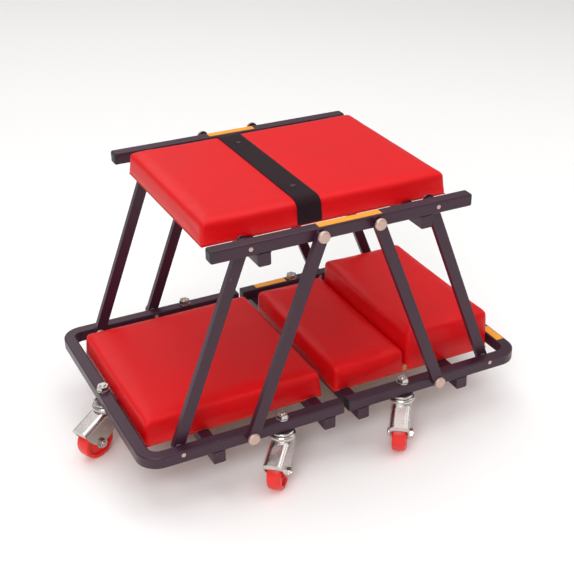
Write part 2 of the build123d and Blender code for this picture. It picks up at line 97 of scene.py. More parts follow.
class CushionSettings(bpy.types.PropertyGroup):
    voxel: length(4.2, "Cloth cell", "Edge of a cloth cell in the padding simulation")
    edge: length(5.0, "Edge radius", "Rounding of a pad's edges before it is stuffed")
    inset: length(0.6, "Start inset", "How far inside its space a pad starts before it swells")
    swell: length(2.2, "Swell", "The furthest that the stuffing pushes the cover out")
    lap: length(0.9, "Lap", "How far the cover wraps below the board's underside")
    lip: length(7.0, "Lip", "Width of the cover's rim under the board")
    tuck: length(3.5, "Tuck", "How far inside the board the cover's hidden underside lies")
    crown: number(0.8, "Crown", "Share of the swell left free over the top")
    shoulder: number(0.5, "Shoulder", "Slope of the cover beside the strap")
    stiffness: number(60.0, "Stiffness", "Stretch stiffness of the vinyl")
    bending: number(2.0, "Bending", "Bending stiffness of the vinyl")
    pressure: number(4.0, "Pressure", "Cloth pressure of the stuffing")
    rounds: count(5, "Smoothing", "Rounds of smoothing after stuffing")
    frames: count(20, "Frames", "Steps of the padding simulation")


class HemSettings(bpy.types.PropertyGroup):
    width: length(26.0, "Hem width", "Vinyl turned in under the board")
    thickness: length(1.1, "Vinyl thickness", "Thickness of the turned-in vinyl")
    rim: length(1.2, "Rim", "How far the hem starts outside the board")
    pleat: length(3.0, "Pleat depth", "How far the cut edge of the vinyl wanders")
    step: length(14.0, "Pleat pitch", "Distance from one point of the cut edge to the next")
    staple_pitch: length(34.0, "Staple pitch", "Distance from one staple to the next")
    staple_width: length(11.0, "Staple width", "Length of a staple's crown")
    staple_wire: length(1.2, "Staple wire", "Thickness of a staple's wire")


class WeldSettings(bpy.types.PropertyGroup):
    bead: length(1.7, "Bead", "Half width of a weld bead")
    ripple: length(2.6, "Ripple", "Distance from one ripple of a weld to the next")


class StrapSettings(bpy.types.PropertyGroup):
    thickness: length(1.9, "Thickness", "Thickness of the webbing")
    cord: length(1.9, "Rib spacing", "Distance between the webbing's woven ribs")
    across: count(8, "Cells across", "Faces across the webbing")
    stations: count(160, "Cells along", "Faces round the webbing's loop")


class FinishSettings(bpy.types.PropertyGroup):
    frame_black: colour("36192A", "Frame", "Powder coat of the tubes")
    vinyl_red: colour("D8050E", "Vinyl", "Upholstery vinyl of the pads")
    wheel_red: colour("E8241C", "Wheels", "Moulded polyurethane of the wheels")
    zinc: colour("D8D0CC", "Zinc", "Bright plating of the casters")
    cap_grey: colour("CDB0A4", "Pivot caps", "Satin finish of the pivot caps")
    webbing_black: colour("260E18", "Webbing", "Woven strap")
    rivet_black: colour("5A4A4C", "Rivets", "Blackened rivets of the strap")
    label_yellow: colour("F0A02A", "Labels", "Blank stickers")
    plastic_black: colour("1E191C", "End caps", "Moulded end caps and plugs")
    ply_pale: colour("B98F5E", "Plywood", "Underside of the boards")


class StageSettings(bpy.types.PropertyGroup):
    floor_pale: colour("FAF9F8", "Floor", "Colour of the floor")
    key_power: number(62.0, "Key light", "Power of the main light in watts")
    sky_high: number(0.75, "Light overhead", "Strength of the surroundings overhead")
    sky_low: number(0.30, "Light at the horizon", "Strength near the floor")


# Materials

def put(material, kind, settings=None, inputs=None, links=None):
    """Add one shader node with its settings, input values and incoming links."""
    node = material.node_tree.nodes.new(kind)
    for key, value in (settings or {}).items():
        setattr(node, key, value)
    for key, value in (inputs or {}).items():
        node.inputs[key].default_value = value
    for key, source in (links or {}).items():
        material.node_tree.links.new(source, node.inputs[key])
    return node


def new_material(name):
    """An empty material with its Principled shader and output."""
    material = bpy.data.materials.new(name)
    material.use_nodes = True
    material.node_tree.nodes.clear()
    shader = put(material, "ShaderNodeBsdfPrincipled")
    put(material, "ShaderNodeOutputMaterial", links={"Surface": shader.outputs["BSDF"]})
    return material, shader


def join(material, source, target):
    """Link one socket to another."""
    material.node_tree.links.new(source, target)


def tint(rgb, factor):
    """The colour made lighter or darker, with its alpha."""
    return tuple(min(1.0, max(0.0, v * factor)) for v in rgb) + (1.0,)


def upholstery_vinyl(settings):
    """Expanded vinyl, calender embossed: a saturated, softly glossy skin with a fine leather grain."""
    material, shader = new_material("upholstery_vinyl")
    place = put(material, "ShaderNodeTexCoord")
    tone = put(material, "ShaderNodeTexNoise", inputs={"Scale": 1 / 0.09, "Detail": 3.0},
               links={"Vector": place.outputs["Object"]})
    mix = put(material, "ShaderNodeMix", {"data_type": "RGBA"},
              {6: tint(settings.vinyl_red, 0.92), 7: tint(settings.vinyl_red, 1.08)},
              {0: tone.outputs["Fac"]})
    join(material, mix.outputs[2], shader.inputs["Base Color"])
    gloss = put(material, "ShaderNodeMapRange", inputs={"To Min": 0.36, "To Max": 0.50},
                links={"Value": tone.outputs["Fac"]})
    join(material, gloss.outputs["Result"], shader.inputs["Roughness"])
    # Real grain is about 0.8 mm; it is drawn at 1.6 mm so that it shows
    grain = put(material, "ShaderNodeTexVoronoi", {"feature": "DISTANCE_TO_EDGE"}, {"Scale": 1 / 0.0016},
                {"Vector": place.outputs["Object"]})
    pits = put(material, "ShaderNodeMapRange", inputs={"From Max": 0.12},
               links={"Value": grain.outputs["Distance"]})
    rumple = put(material, "ShaderNodeTexNoise", inputs={"Scale": 1 / 0.035, "Detail": 4.0},
                 links={"Vector": place.outputs["Object"]})
    soft = put(material, "ShaderNodeBump", inputs={"Strength": 0.10, "Distance": 0.004},
               links={"Height": rumple.outputs["Fac"]})
    bump = put(material, "ShaderNodeBump", inputs={"Strength": 0.16, "Distance": 0.0003},
               links={"Height": pits.outputs["Result"], "Normal": soft.outputs["Normal"]})
    join(material, bump.outputs["Normal"], shader.inputs["Normal"])
    shader.inputs["IOR"].default_value = 1.5
    shader.inputs["Specular IOR Level"].default_value = 0.22
    shader.inputs["Coat Weight"].default_value = 0.05
    shader.inputs["Coat Roughness"].default_value = 0.25
    return material


def powder_coat(settings):
    """Baked powder coat on steel tube: near black, half gloss, with an orange-peel skin and rubbed spots."""
    material, shader = new_material("black_powder_coat")
    place = put(material, "ShaderNodeTexCoord")
    tone = put(material, "ShaderNodeTexNoise", inputs={"Scale": 1 / 0.06, "Detail": 4.0},
               links={"Vector": place.outputs["Object"]})
    mix = put(material, "ShaderNodeMix", {"data_type": "RGBA"},
              {6: tint(settings.frame_black, 0.8), 7: tint(settings.frame_black, 1.25)},
              {0: tone.outputs["Fac"]})
    scuff = put(material, "ShaderNodeTexNoise", inputs={"Scale": 1 / 0.011, "Detail": 8.0, "Roughness": 0.7},
                links={"Vector": place.outputs["Object"]})
    rubbed = put(material, "ShaderNodeMapRange", inputs={"From Min": 0.66, "From Max": 0.74},
                 links={"Value": scuff.outputs["Fac"]})
    worn = put(material, "ShaderNodeMix", {"data_type": "RGBA"}, {7: tint(linear("6A5B5C"), 1.0)},
               {0: rubbed.outputs["Result"], 6: mix.outputs[2]})
    join(material, worn.outputs[2], shader.inputs["Base Color"])
    gloss = put(material, "ShaderNodeMapRange", inputs={"To Min": 0.30, "To Max": 0.46},
                links={"Value": tone.outputs["Fac"]})
    join(material, gloss.outputs["Result"], shader.inputs["Roughness"])
    # Orange peel is about 1.5 mm from crest to crest; it is drawn at 2.2 mm so that it shows
    peel = put(material, "ShaderNodeTexNoise", inputs={"Scale": 1 / 0.0022, "Detail": 2.0},
               links={"Vector": place.outputs["Object"]})
    bump = put(material, "ShaderNodeBump", inputs={"Strength": 0.12, "Distance": 0.0004},
               links={"Height": peel.outputs["Fac"]})
    join(material, bump.outputs["Normal"], shader.inputs["Normal"])
    shader.inputs["IOR"].default_value = 1.5
    shader.inputs["Specular IOR Level"].default_value = 0.35
    shader.inputs["Coat Weight"].default_value = 0.15
    shader.inputs["Coat Roughness"].default_value = 0.22
    return material


def bright_zinc(settings):
    """Pressed steel, bright zinc plated: a blue-white metal with faint spangle and drawing marks."""
    material, shader = new_material("bright_zinc")
    place = put(material, "ShaderNodeTexCoord")
    cloud = put(material, "ShaderNodeTexNoise", inputs={"Scale": 1 / 0.012, "Detail": 5.0},
                links={"Vector": place.outputs["Object"]})
    mix = put(material, "ShaderNodeMix", {"data_type": "RGBA"},
              {6: tint(settings.zinc, 0.72), 7: tint(settings.zinc, 1.05)}, {0: cloud.outputs["Fac"]})
    join(material, mix.outputs[2], shader.inputs["Base Color"])
    dull = put(material, "ShaderNodeMapRange", inputs={"To Min": 0.14, "To Max": 0.36},
               links={"Value": cloud.outputs["Fac"]})
    join(material, dull.outputs["Result"], shader.inputs["Roughness"])
    marks = put(material, "ShaderNodeTexNoise", inputs={"Scale": 1 / 0.0015, "Detail": 3.0},
                links={"Vector": place.outputs["Object"]})
    bump = put(material, "ShaderNodeBump", inputs={"Strength": 0.05, "Distance": 0.0002},
               links={"Height": marks.outputs["Fac"]})
    join(material, bump.outputs["Normal"], shader.inputs["Normal"])
    shader.inputs["Metallic"].default_value = 1.0
    return material


def cap_metal(settings):
    """Satin aluminium caps of the pivots: pale, slightly warm, softly reflecting."""
    material, shader = new_material("satin_cap")
    place = put(material, "ShaderNodeTexCoord")
    cloud = put(material, "ShaderNodeTexNoise", inputs={"Scale": 1 / 0.005, "Detail": 4.0},
                links={"Vector": place.outputs["Object"]})
    mix = put(material, "ShaderNodeMix", {"data_type": "RGBA"},
              {6: tint(settings.cap_grey, 0.8), 7: tint(settings.cap_grey, 1.1)}, {0: cloud.outputs["Fac"]})
    join(material, mix.outputs[2], shader.inputs["Base Color"])
    bump = put(material, "ShaderNodeBump", inputs={"Strength": 0.08, "Distance": 0.0003},
               links={"Height": cloud.outputs["Fac"]})
    join(material, bump.outputs["Normal"], shader.inputs["Normal"])
    shader.inputs["Metallic"].default_value = 0.7
    shader.inputs["Roughness"].default_value = 0.42
    return material


def blackened_steel(settings):
    """Steel rivets, chemically blackened: a dark metal with a soft oily gleam."""
    material, shader = new_material("blackened_steel")
    place = put(material, "ShaderNodeTexCoord")
    bloom = put(material, "ShaderNodeTexNoise", inputs={"Scale": 1 / 0.004, "Detail": 3.0},
                links={"Vector": place.outputs["Object"]})
    mix = put(material, "ShaderNodeMix", {"data_type": "RGBA"},
              {6: tint(settings.rivet_black, 0.7), 7: tint(settings.rivet_black, 1.3)},
              {0: bloom.outputs["Fac"]})
    join(material, mix.outputs[2], shader.inputs["Base Color"])
    shader.inputs["Metallic"].default_value = 1.0
    shader.inputs["Roughness"].default_value = 0.38
    return material


def wheel_polyurethane(settings):
    """Cast polyurethane: slightly see-through orange red with a waxy gloss and moulding haze."""
    material, shader = new_material("wheel_polyurethane")
    place = put(material, "ShaderNodeTexCoord")
    haze = put(material, "ShaderNodeTexNoise", inputs={"Scale": 1 / 0.014, "Detail": 3.0},
               links={"Vector": place.outputs["Object"]})
    mix = put(material, "ShaderNodeMix", {"data_type": "RGBA"},
              {6: tint(settings.wheel_red, 0.85), 7: tint(settings.wheel_red, 1.12)},
              {0: haze.outputs["Fac"]})
    join(material, mix.outputs[2], shader.inputs["Base Color"])
    gloss = put(material, "ShaderNodeMapRange", inputs={"To Min": 0.26, "To Max": 0.42},
                links={"Value": haze.outputs["Fac"]})
    join(material, gloss.outputs["Result"], shader.inputs["Roughness"])
    shader.inputs["IOR"].default_value = 1.5
    shader.inputs["Subsurface Weight"].default_value = 0.35
    shader.inputs["Subsurface Radius"].default_value = (0.006, 0.0012, 0.0006)
    shader.inputs["Subsurface Scale"].default_value = 1.0
    return material


def moulded_plastic(settings):
    """Injection-moulded polyethylene: black, matt, with a spark-eroded grain."""
    material, shader = new_material("moulded_plastic")
    place = put(material, "ShaderNodeTexCoord")
    grain = put(material, "ShaderNodeTexNoise", inputs={"Scale": 1 / 0.0009, "Detail": 2.0},
                links={"Vector": place.outputs["Object"]})
    mix = put(material, "ShaderNodeMix", {"data_type": "RGBA"},
              {6: tint(settings.plastic_black, 0.8), 7: tint(settings.plastic_black, 1.3)},
              {0: grain.outputs["Fac"]})
    join(material, mix.outputs[2], shader.inputs["Base Color"])
    bump = put(material, "ShaderNodeBump", inputs={"Strength": 0.15, "Distance": 0.0002},
               links={"Height": grain.outputs["Fac"]})
    join(material, bump.outputs["Normal"], shader.inputs["Normal"])
    shader.inputs["Roughness"].default_value = 0.5
    shader.inputs["IOR"].default_value = 1.51
    return material


# The wave texture turns 20 radians per unit at a scale of 1, so this gives one rib per unit
ONE_WAVE = 0.314


def woven_webbing(settings, width, run, rib):
    """Woven polypropylene webbing: ribs across the strap, and warp threads along it, with little shine."""
    material, shader = new_material("woven_webbing")
    place = put(material, "ShaderNodeTexCoord")
    ribs = put(material, "ShaderNodeMapping", inputs={"Scale": (width / rib, run / rib, 1.0)},
               links={"Vector": place.outputs["UV"]})
    across = put(material, "ShaderNodeTexWave", {"wave_type": "BANDS", "bands_direction": "Y"},
                 {"Scale": ONE_WAVE, "Distortion": 0.6, "Detail": 1.0}, {"Vector": ribs.outputs["Vector"]})
    along = put(material, "ShaderNodeTexWave", {"wave_type": "BANDS", "bands_direction": "X"},
                {"Scale": ONE_WAVE, "Distortion": 0.3, "Detail": 1.0}, {"Vector": ribs.outputs["Vector"]})
    weave = put(material, "ShaderNodeMath", {"operation": "MULTIPLY"},
                links={0: across.outputs["Fac"], 1: along.outputs["Fac"]})
    mix = put(material, "ShaderNodeMix", {"data_type": "RGBA"},
              {6: tint(settings.webbing_black, 0.55), 7: tint(settings.webbing_black, 1.5)},
              {0: weave.outputs["Value"]})
    join(material, mix.outputs[2], shader.inputs["Base Color"])
    bump = put(material, "ShaderNodeBump", inputs={"Strength": 0.6, "Distance": 0.0006},
               links={"Height": weave.outputs["Value"]})
    join(material, bump.outputs["Normal"], shader.inputs["Normal"])
    shader.inputs["Roughness"].default_value = 0.7
    shader.inputs["Specular IOR Level"].default_value = 0.15
    shader.inputs["Sheen Weight"].default_value = 0.06
    shader.inputs["Sheen Roughness"].default_value = 0.4
    return material


def paper_label(settings):
    """Coated paper sticker: warm yellow, faintly mottled, with a light gloss."""
    material, shader = new_material("blank_label")
    place = put(material, "ShaderNodeTexCoord")
    mottle = put(material, "ShaderNodeTexNoise", inputs={"Scale": 1 / 0.02, "Detail": 4.0},
                 links={"Vector": place.outputs["Object"]})
    mix = put(material, "ShaderNodeMix", {"data_type": "RGBA"},
              {6: tint(settings.label_yellow, 0.85), 7: tint(settings.label_yellow, 1.1)},
              {0: mottle.outputs["Fac"]})
    join(material, mix.outputs[2], shader.inputs["Base Color"])
    shader.inputs["Roughness"].default_value = 0.38
    return material


def plywood(settings):
    """Rotary-cut plywood: pale brown, with long grain along X and fine pores."""
    material, shader = new_material("plywood")
    place = put(material, "ShaderNodeTexCoord")
    # The streaks of a rotary-cut veneer are about 170 mm long and 11 mm wide
    stretch = put(material, "ShaderNodeMapping", inputs={"Scale": (6.0, 90.0, 90.0)},
                  links={"Vector": place.outputs["Object"]})
    grain = put(material, "ShaderNodeTexNoise", inputs={"Scale": 1.0, "Detail": 8.0, "Distortion": 0.6},
                links={"Vector": stretch.outputs["Vector"]})
    mix = put(material, "ShaderNodeMix", {"data_type": "RGBA"},
              {6: tint(settings.ply_pale, 0.6), 7: tint(settings.ply_pale, 1.15)}, {0: grain.outputs["Fac"]})
    join(material, mix.outputs[2], shader.inputs["Base Color"])
    bump = put(material, "ShaderNodeBump", inputs={"Strength": 0.2, "Distance": 0.0005},
               links={"Height": grain.outputs["Fac"]})
    join(material, bump.outputs["Normal"], shader.inputs["Normal"])
    shader.inputs["Roughness"].default_value = 0.7
    return material


def named(material_name):
    """A material made by the finishes operator."""
    return bpy.data.materials[material_name]


# Mesh helpers

def add_piece(name, bm, material_name=None):
    """A new object from a bmesh, at the origin, shaded smooth."""
    mesh = bpy.data.meshes.new(name)
    bm.to_mesh(mesh)
    bm.free()
    mesh.shade_smooth()
    piece = bpy.data.objects.new(name, mesh)
    bpy.context.scene.collection.objects.link(piece)
    if material_name:
        mesh.materials.append(named(material_name))
    return piece


def add_box(bm, low, high):
    """A box between two corners; returns its vertices."""
    made = bmesh.ops.create_cube(bm, size=1.0)["verts"]
    size = high - low
    bmesh.ops.scale(bm, vec=size, verts=made)
    bmesh.ops.translate(bm, vec=(low + high) / 2, verts=made)
    return made


def evaluated(piece):
    """A plain mesh of the piece with its modifiers applied."""
    graph = bpy.context.evaluated_depsgraph_get()
    return bpy.data.meshes.new_from_object(piece.evaluated_get(graph), depsgraph=graph)


def take_mesh(piece, mesh):
    """Give the piece a new mesh and drop its modifiers."""
    old = piece.data
    piece.modifiers.clear()
    piece.data = mesh
    bpy.data.meshes.remove(old)


def stuffed(piece, settings, fixed_z):
    """Remesh the piece, blow it up as cloth, and limit how far each point moves.

    Points below fixed_z stay where the cover is pulled tight round the board.
    """
    remesh = piece.modifiers.new("cells", "REMESH")
    remesh.mode = "VOXEL"
    remesh.voxel_size = settings.voxel
    take_mesh(piece, evaluated(piece))
    start = [v.co.copy() for v in piece.data.vertices]
    pins = piece.vertex_groups.new(name="pins")
    pins.add([v.index for v in piece.data.vertices if v.co.z < fixed_z], 1.0, "REPLACE")
    cloth = piece.modifiers.new("cover", "CLOTH")
    cloth.settings.vertex_group_mass = "pins"
    cloth.settings.use_pressure = True
    cloth.settings.uniform_pressure_force = settings.pressure
    cloth.settings.effector_weights.gravity = 0.0
    cloth.settings.tension_stiffness = settings.stiffness
    cloth.settings.compression_stiffness = settings.stiffness
    cloth.settings.bending_stiffness = settings.bending
    cloth.point_cache.frame_start = 1
    cloth.point_cache.frame_end = settings.frames
    for step in range(1, settings.frames + 1):
        bpy.context.scene.frame_set(step)
    take_mesh(piece, evaluated(piece))
    bpy.context.scene.frame_set(1)
    piece.vertex_groups.clear()
    for v, before in zip(piece.data.vertices, start):
        move = v.co - before
        if move.length > settings.swell:
            v.co = before + move.normalized() * settings.swell


def smooth_cover(piece, rounds, tight_z):
    """Even out the cover's cells above the board, then round it with one subdivision."""
    bm = bmesh.new()
    bm.from_mesh(piece.data)
    loose = [v for v in bm.verts if v.co.z > tight_z]
    for _ in range(rounds):
        bmesh.ops.smooth_vert(bm, verts=loose, factor=0.5, use_axis_x=True, use_axis_y=True, use_axis_z=True)
    bm.to_mesh(piece.data)
    bm.free()
    piece.data.shade_smooth()
    rounding = piece.modifiers.new("rounding", "SUBSURF")
    rounding.levels = 1
    rounding.render_levels = 1


def cushion(name, node, board, body, settings, press=None):
    """One upholstered pad that stands for its CAD solid and wraps its board.

    press is the low X, the high X and the height of a band where something holds the top down.
    """
    low, high = (Vector(corner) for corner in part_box(node))
    _, board_high = (Vector(corner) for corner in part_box(board))
    bm = bmesh.new()
    start_low = low + Vector((settings.inset, settings.inset, -settings.lap))
    start_high = high - Vector((settings.inset, settings.inset, settings.swell * settings.crown))
    add_box(bm, start_low, start_high)
    rounded = [e for e in bm.edges if any(v.co.z > board_high.z for v in e.verts)]
    bmesh.ops.bevel(
        bm, geom=rounded, offset=settings.edge, segments=4, profile=0.5, affect="EDGES", material=-1,
    )
    piece = add_piece(name, bm, "upholstery_vinyl")
    stuffed(piece, settings, board_high.z)
    if press:
        middle, half = (press[0] + press[1]) / 2, (press[1] - press[0]) / 2
        for v in piece.data.vertices:
            beside = max(0.0, abs(v.co.x - middle) - half)
            v.co.z = min(v.co.z, press[2] + settings.shoulder * beside)
    for v in piece.data.vertices:
        inside = min(v.co.x - low.x, high.x - v.co.x, v.co.y - low.y, high.y - v.co.y)
        if v.co.z < low.z and inside > settings.lip:
            v.co.z = low.z + settings.tuck
    smooth_cover(piece, settings.rounds, low.z + 2 * settings.tuck)
    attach(piece, body)
    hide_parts(node)
    return piece


def hem_strip(bm, start, end, inward, settings, rng):
    """One strip of vinyl turned in under a board, with a hand-cut wavy inner edge."""
    steps = int((end - start).length / settings.step)
    rows = []
    for i in range(steps + 1):
        edge = start.lerp(end, i / steps)
        reach = settings.width + settings.pleat * (rng.random() - 0.5)
        rows.append((bm.verts.new(edge), bm.verts.new(edge + inward * reach)))
    return [bm.faces.new((rows[i][0], rows[i + 1][0], rows[i + 1][1], rows[i][1])) for i in range(steps)]


def thick(bm, faces, thickness):
    """Give flat faces a thickness downwards."""
    bmesh.ops.recalc_face_normals(bm, faces=faces)
    for face in faces:
        if face.normal.z > 0:
            face.normal_flip()
    made = bmesh.ops.extrude_face_region(bm, geom=faces)
    bottoms = [v for v in made["geom"] if isinstance(v, bmesh.types.BMVert)]
    bmesh.ops.translate(bm, vec=(0, 0, -thickness), verts=bottoms)


# Operators, one for each piece or group of like pieces

class CREEPER_OT_finishes(bpy.types.Operator):
    """Make the materials and put them on the frame's own parts"""
    bl_idname = "creeper.finishes"
    bl_label = "Finishes"

    def execute(self, context):
        settings = context.scene.creeper_finishes
        strap = context.scene.creeper_strap
        low, high = (Vector(corner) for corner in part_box("seat_strap"))
        loop = 2 * ((high.y - low.y) + (high.z - low.z))
        black = powder_coat(settings)
        zinc = bright_zinc(settings)
        caps = cap_metal(settings)
        wheels = wheel_polyurethane(settings)
        plastic = moulded_plastic(settings)
        rivet = blackened_steel(settings)
        label = paper_label(settings)
        board = plywood(settings)
        upholstery_vinyl(settings)
        woven_webbing(settings, high.x - low.x, loop, strap.cord)
        finish_of = {"seat_near_rail": black, "seat_far_rail": black, "seat_board": board}
        finish_of.update({"seat_rail_caps": plastic, "seat_pivot_bolts": caps, "seat_board_screws": zinc})
        finish_of.update({"strap_rivets": rivet, "latch_hook": zinc, "latch_peg": zinc})
        finish_of.update({"seat_labels": label, "right_labels": label})
        for side in SIDES:
            for tube in ("frame_tube", "outer_cross_tube", "inner_cross_tube"):
                finish_of[f"{side}_{tube}"] = black
            finish_of[f"seat_{side}_cross_tube"] = black
            finish_of[f"{side}_board"] = board
            finish_of[f"{side}_end_plugs"] = plastic
            finish_of[f"{side}_pivot_bolts"] = caps
            for metal in ("board_screws", "caster_stems"):
                finish_of[f"{side}_{metal}"] = zinc
            for place in ("inner", "outer"):
                for row in ("near", "far"):
                    finish_of[f"{side}_{place}_leg_{row}"] = black
            for spot in SPOTS:
                finish_of[f"{side}_{spot}_caster_fork"] = zinc
                finish_of[f"{side}_{spot}_caster_axle"] = zinc
                finish_of[f"{side}_{spot}_caster_wheel"] = wheels
        for node, material in finish_of.items():
            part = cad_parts[node]
            part.data.materials.clear()
            part.data.materials.append(material)
        return {"FINISHED"}


class CREEPER_OT_cushions(bpy.types.Operator):
    """Make the four upholstered pads"""
    bl_idname = "creeper.cushions"
    bl_label = "Cushions"

    def execute(self, context):
        settings = context.scene.creeper_cushions
        strap_low, strap_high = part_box("seat_strap")
        band = (strap_low[0], strap_high[0], strap_high[2] - context.scene.creeper_strap.thickness)
        cushion("left_cushion", "left_pad", "left_board", "base_left", settings)
        cushion("right_cushion", "right_pad", "right_board", "base_right", settings)
        cushion("headrest_cushion", "headrest", "right_board", "base_right", settings)
        cushion("seat_cushion", "seat_pad", "seat_board", "seat", settings, band)
        return {"FINISHED"}


class CREEPER_OT_hems(bpy.types.Operator):
    """Turn the vinyl in under each board and staple it"""
    bl_idname = "creeper.hems"
    bl_label = "Hems and staples"

    def execute(self, context):
        settings = context.scene.creeper_hems
        rng = random.Random(7)
        for word, body in BOARDS:
            low, high = (Vector(corner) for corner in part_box(f"{word}_board"))
            rim = settings.rim
            corners = [
                Vector((low.x - rim, low.y - rim, low.z)), Vector((high.x + rim, low.y - rim, low.z)),
                Vector((high.x + rim, high.y + rim, low.z)), Vector((low.x - rim, high.y + rim, low.z)),
            ]
            vinyl = bmesh.new()
            wire = bmesh.new()
            for i, start in enumerate(corners):
                end = corners[(i + 1) % 4]
                along = (end - start).normalized()
                inward = Vector((-along.y, along.x, 0))
                # Two of the four strips are cut short, so that the corners are butt folded
                short = along * (settings.width if i % 2 else 0.0)
                faces = hem_strip(vinyl, start + short, end - short, inward, settings, rng)
                thick(vinyl, faces, settings.thickness)
                self.staple_row(wire, start + short, end - short, inward, settings, rng)
            hem = add_piece(f"{word}_hem", vinyl, "upholstery_vinyl")
            soft = hem.modifiers.new("soft", "BEVEL")
            soft.width = settings.thickness * 0.4
            soft.segments = 2
            staples = add_piece(f"{word}_staples", wire, "bright_zinc")
            for piece, slot in ((hem, "red_vinyl"), (staples, "zinc_hardware")):
                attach(piece, body)
        return {"FINISHED"}

    def staple_row(self, bm, start, end, inward, settings, rng):
        """Staple crowns along a strip, each a little off its line."""
        count = int((end - start).length / settings.staple_pitch)
        half = Vector((settings.staple_width, settings.staple_wire, settings.staple_wire)) / 2
        for i in range(count):
            at = start.lerp(end, (i + 0.5) / count) + inward * settings.width * (0.62 + 0.12 * rng.random())
            at.z -= settings.thickness + half.z * 0.6
            made = add_box(bm, -half, half)
            askew = 0.5 * (rng.random() - 0.5)
            turn = Matrix.Rotation(math.atan2(inward.y, inward.x) + math.pi / 2 + askew, 3, "Z")
            bmesh.ops.rotate(bm, matrix=turn, verts=made)
            bmesh.ops.translate(bm, vec=at, verts=made)
            edges = list({edge for vert in made for edge in vert.link_edges})
            bmesh.ops.bevel(
                bm, geom=edges, offset=half.z * 0.5, segments=1, profile=0.5, affect="EDGES", material=-1,
            )


class CREEPER_OT_welds(bpy.types.Operator):
    """Lay a bead of weld where each cross tube meets a rail"""
    bl_idname = "creeper.welds"
    bl_label = "Welds"

    def execute(self, context):
        settings = context.scene.creeper_welds
        cross_tubes = {
            f"base_{side}": [f"{side}_{place}_cross_tube" for place in ("outer", "inner")] for side in SIDES
        }
        cross_tubes["seat"] = [f"seat_{side}_cross_tube" for side in SIDES]
        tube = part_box("seat_near_rail")[1][2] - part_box("seat_near_rail")[0][2]
        for body, crosses in cross_tubes.items():
            bm = bmesh.new()
            for cross in crosses:
                low, high = (Vector(corner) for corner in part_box(cross))
                for row in (-1, 1):
                    outer_y = row * high.y
                    inner_y = row * (high.y - tube)
                    left, right = (Vector((x, inner_y, high.z)) for x in (low.x, high.x))
                    self.bead(bm, left, right, settings)
                    for start in (left, right):
                        self.bead(bm, start, Vector((start.x, outer_y, high.z)), settings)
            piece = add_piece(f"{body}_welds", bm, "black_powder_coat")
            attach(piece, body)
        return {"FINISHED"}

    def bead(self, bm, start, end, settings):
        """A rippled bead: a row of squashed overlapping drops."""
        inset = (end - start).normalized() * settings.bead
        start, end = start + inset, end - inset
        count = max(2, round((end - start).length / settings.ripple))
        for i in range(count + 1):
            drop = bmesh.ops.create_uvsphere(bm, u_segments=10, v_segments=6, radius=settings.bead)["verts"]
            bmesh.ops.translate(bm, vec=start.lerp(end, i / count), verts=drop)


# Share by which a row of the webbing lies straight across, and how upright a normal on a level run is
STRAP_TIGHT = 0.65
LEVEL = 0.9


class CREEPER_OT_strap(bpy.types.Operator):
    """Make the webbing strap that goes round the seat pad"""
    bl_idname = "creeper.strap"
    bl_label = "Lifting strap"

    def execute(self, context):
        settings = context.scene.creeper_strap
        low, high = (Vector(corner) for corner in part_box("seat_strap"))
        middle = (low + high) / 2
        half = settings.thickness / 2
        # The bottom run lies on the hems of the vinyl
        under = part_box("seat_board")[0][2] - context.scene.creeper_hems.thickness
        cover = bpy.data.objects["seat_cushion"]
        skin = BVHTree.FromObject(cover, bpy.context.evaluated_depsgraph_get())
        across, stations = settings.across, settings.stations
        bm = bmesh.new()
        uv = bm.loops.layers.uv.new("UVMap")
        rows = []
        for i in range(stations):
            angle = 2 * math.pi * i / stations
            aim = Vector((0.0, math.cos(angle) * (high.y - low.y), math.sin(angle) * (high.z - low.z) * 2))
            row = []
            for j in range(across + 1):
                x = low.x + (high.x - low.x) * j / across
                start = Vector((x, 0.0, middle.z)) + aim
                hit, normal, _, _ = skin.ray_cast(start, -aim.normalized())
                row.append((hit, normal))
            # The webbing is stiff across, so a row lies on the highest points under it
            reach = max((hit - Vector((hit.x, 0.0, middle.z))).length for hit, _ in row)
            flat = []
            for hit, normal in row:
                centre = Vector((hit.x, 0.0, middle.z))
                out = (hit - centre).normalized()
                at = centre + out * ((hit - centre).length * (1 - STRAP_TIGHT) + reach * STRAP_TIGHT)
                at += Vector((0.0, normal.y, normal.z)).normalized() * half
                if normal.z > LEVEL:
                    at.z = high.z - half
                if normal.z < -LEVEL:
                    at.z = under - half
                flat.append(bm.verts.new(at))
            rows.append(flat)
        for i in range(stations):
            after = (i + 1) % stations
            for j in range(across):
                face = bm.faces.new((rows[i][j], rows[after][j], rows[after][j + 1], rows[i][j + 1]))
                corners = ((j, i), (j, i + 1), (j + 1, i + 1), (j + 1, i))
                for loop, (u, v) in zip(face.loops, corners):
                    loop[uv].uv = (u / across, v / stations)
        for _ in range(3):
            bmesh.ops.smooth_vert(bm, verts=bm.verts, factor=0.5, use_axis_y=True, use_axis_z=True)
        bmesh.ops.recalc_face_normals(bm, faces=bm.faces)
        piece = add_piece("lifting_strap", bm, "woven_webbing")
        body = piece.modifiers.new("thickness", "SOLIDIFY")
        body.thickness = settings.thickness
        body.offset = 0.0
        rim = piece.modifiers.new("rim", "BEVEL")
        rim.width = settings.thickness * 0.3
        rim.segments = 2
        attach(piece, "seat")
        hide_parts("seat_strap")
        return {"FINISHED"}


# The lens, the eye's place from the middle of the base rails' tops in metres, and its yaw, pitch and roll
LENS_MM = 70.49
LENS_SHIFT = -0.0991
EYE = Vector((-0.68, -1.4299, 0.9525))
EYE_TURN = (61.23, -28.3, 0.46)


